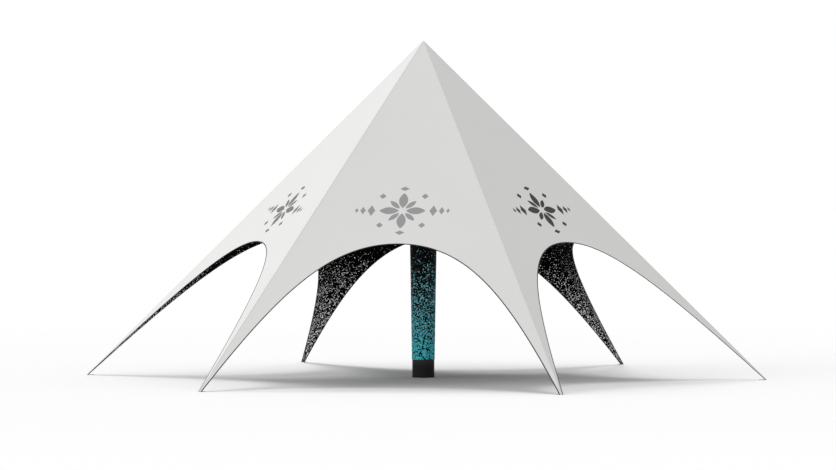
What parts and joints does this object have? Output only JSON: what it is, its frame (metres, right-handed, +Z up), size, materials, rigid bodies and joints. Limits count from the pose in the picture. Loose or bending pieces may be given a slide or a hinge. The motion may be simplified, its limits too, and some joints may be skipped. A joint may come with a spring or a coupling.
{
  "type": "star tent",
  "caption": "Six-pointed star tent: flat cloth gores cut with high arches, taut over one centre mast in a round cover, its leg tips on peg plates.",
  "frame": {"origin": "on the ground, on the mast's axis below the peak", "axes": "+Z up; +X towards the first leg tip; the front gore faces -Y"},
  "size_m": [9.9938, 8.655, 4.8951],
  "materials": {
    "canopy_cloth": "matt coated polyester, light grey outside and black inside",
    "binding_tape": "matt woven tape",
    "strap_webbing": "woven webbing",
    "lining_cloth": "matt coated cloth",
    "galvanised_steel": "zinc coated",
    "mast_alloy": "drawn tube, satin",
    "moulded_plastic": "fine grain",
    "sleeve_cloth": "printed stretch cloth"
  },
  "bodies": {
    "root": {"canopy_gore_back": "canopy_cloth", "canopy_gore_back_left": "canopy_cloth", "canopy_gore_back_right": "canopy_cloth", "canopy_gore_front": "canopy_cloth", "canopy_gore_front_left": "canopy_cloth", "canopy_gore_front_right": "canopy_cloth", "edge_binding_back": "binding_tape", "edge_binding_back_left": "binding_tape", "edge_binding_back_right": "binding_tape", "edge_binding_front": "binding_tape", "edge_binding_front_left": "binding_tape", "edge_binding_front_right": "binding_tape", "ridge_strap_back_left": "strap_webbing", "ridge_strap_back_right": "strap_webbing", "ridge_strap_front_left": "strap_webbing", "ridge_strap_front_right": "strap_webbing", "ridge_strap_left": "strap_webbing", "ridge_strap_right": "strap_webbing", "tip_fitting_back_left": "galvanised_steel", "tip_fitting_back_right": "galvanised_steel", "tip_fitting_front_left": "galvanised_steel", "tip_fitting_front_right": "galvanised_steel", "tip_fitting_left": "galvanised_steel", "tip_fitting_right": "galvanised_steel", "crown_patch": "lining_cloth", "mast_head": "moulded_plastic", "mast_upper_tube": "mast_alloy", "mast_lower_tube": "mast_alloy", "mast_collar": "moulded_plastic", "mast_foot": "galvanised_steel", "base_drum": "moulded_plastic", "base_lid": "moulded_plastic", "sleeve": "sleeve_cloth", "sleeve_top_ring": "mast_alloy"}
  },
  "joints": []
}
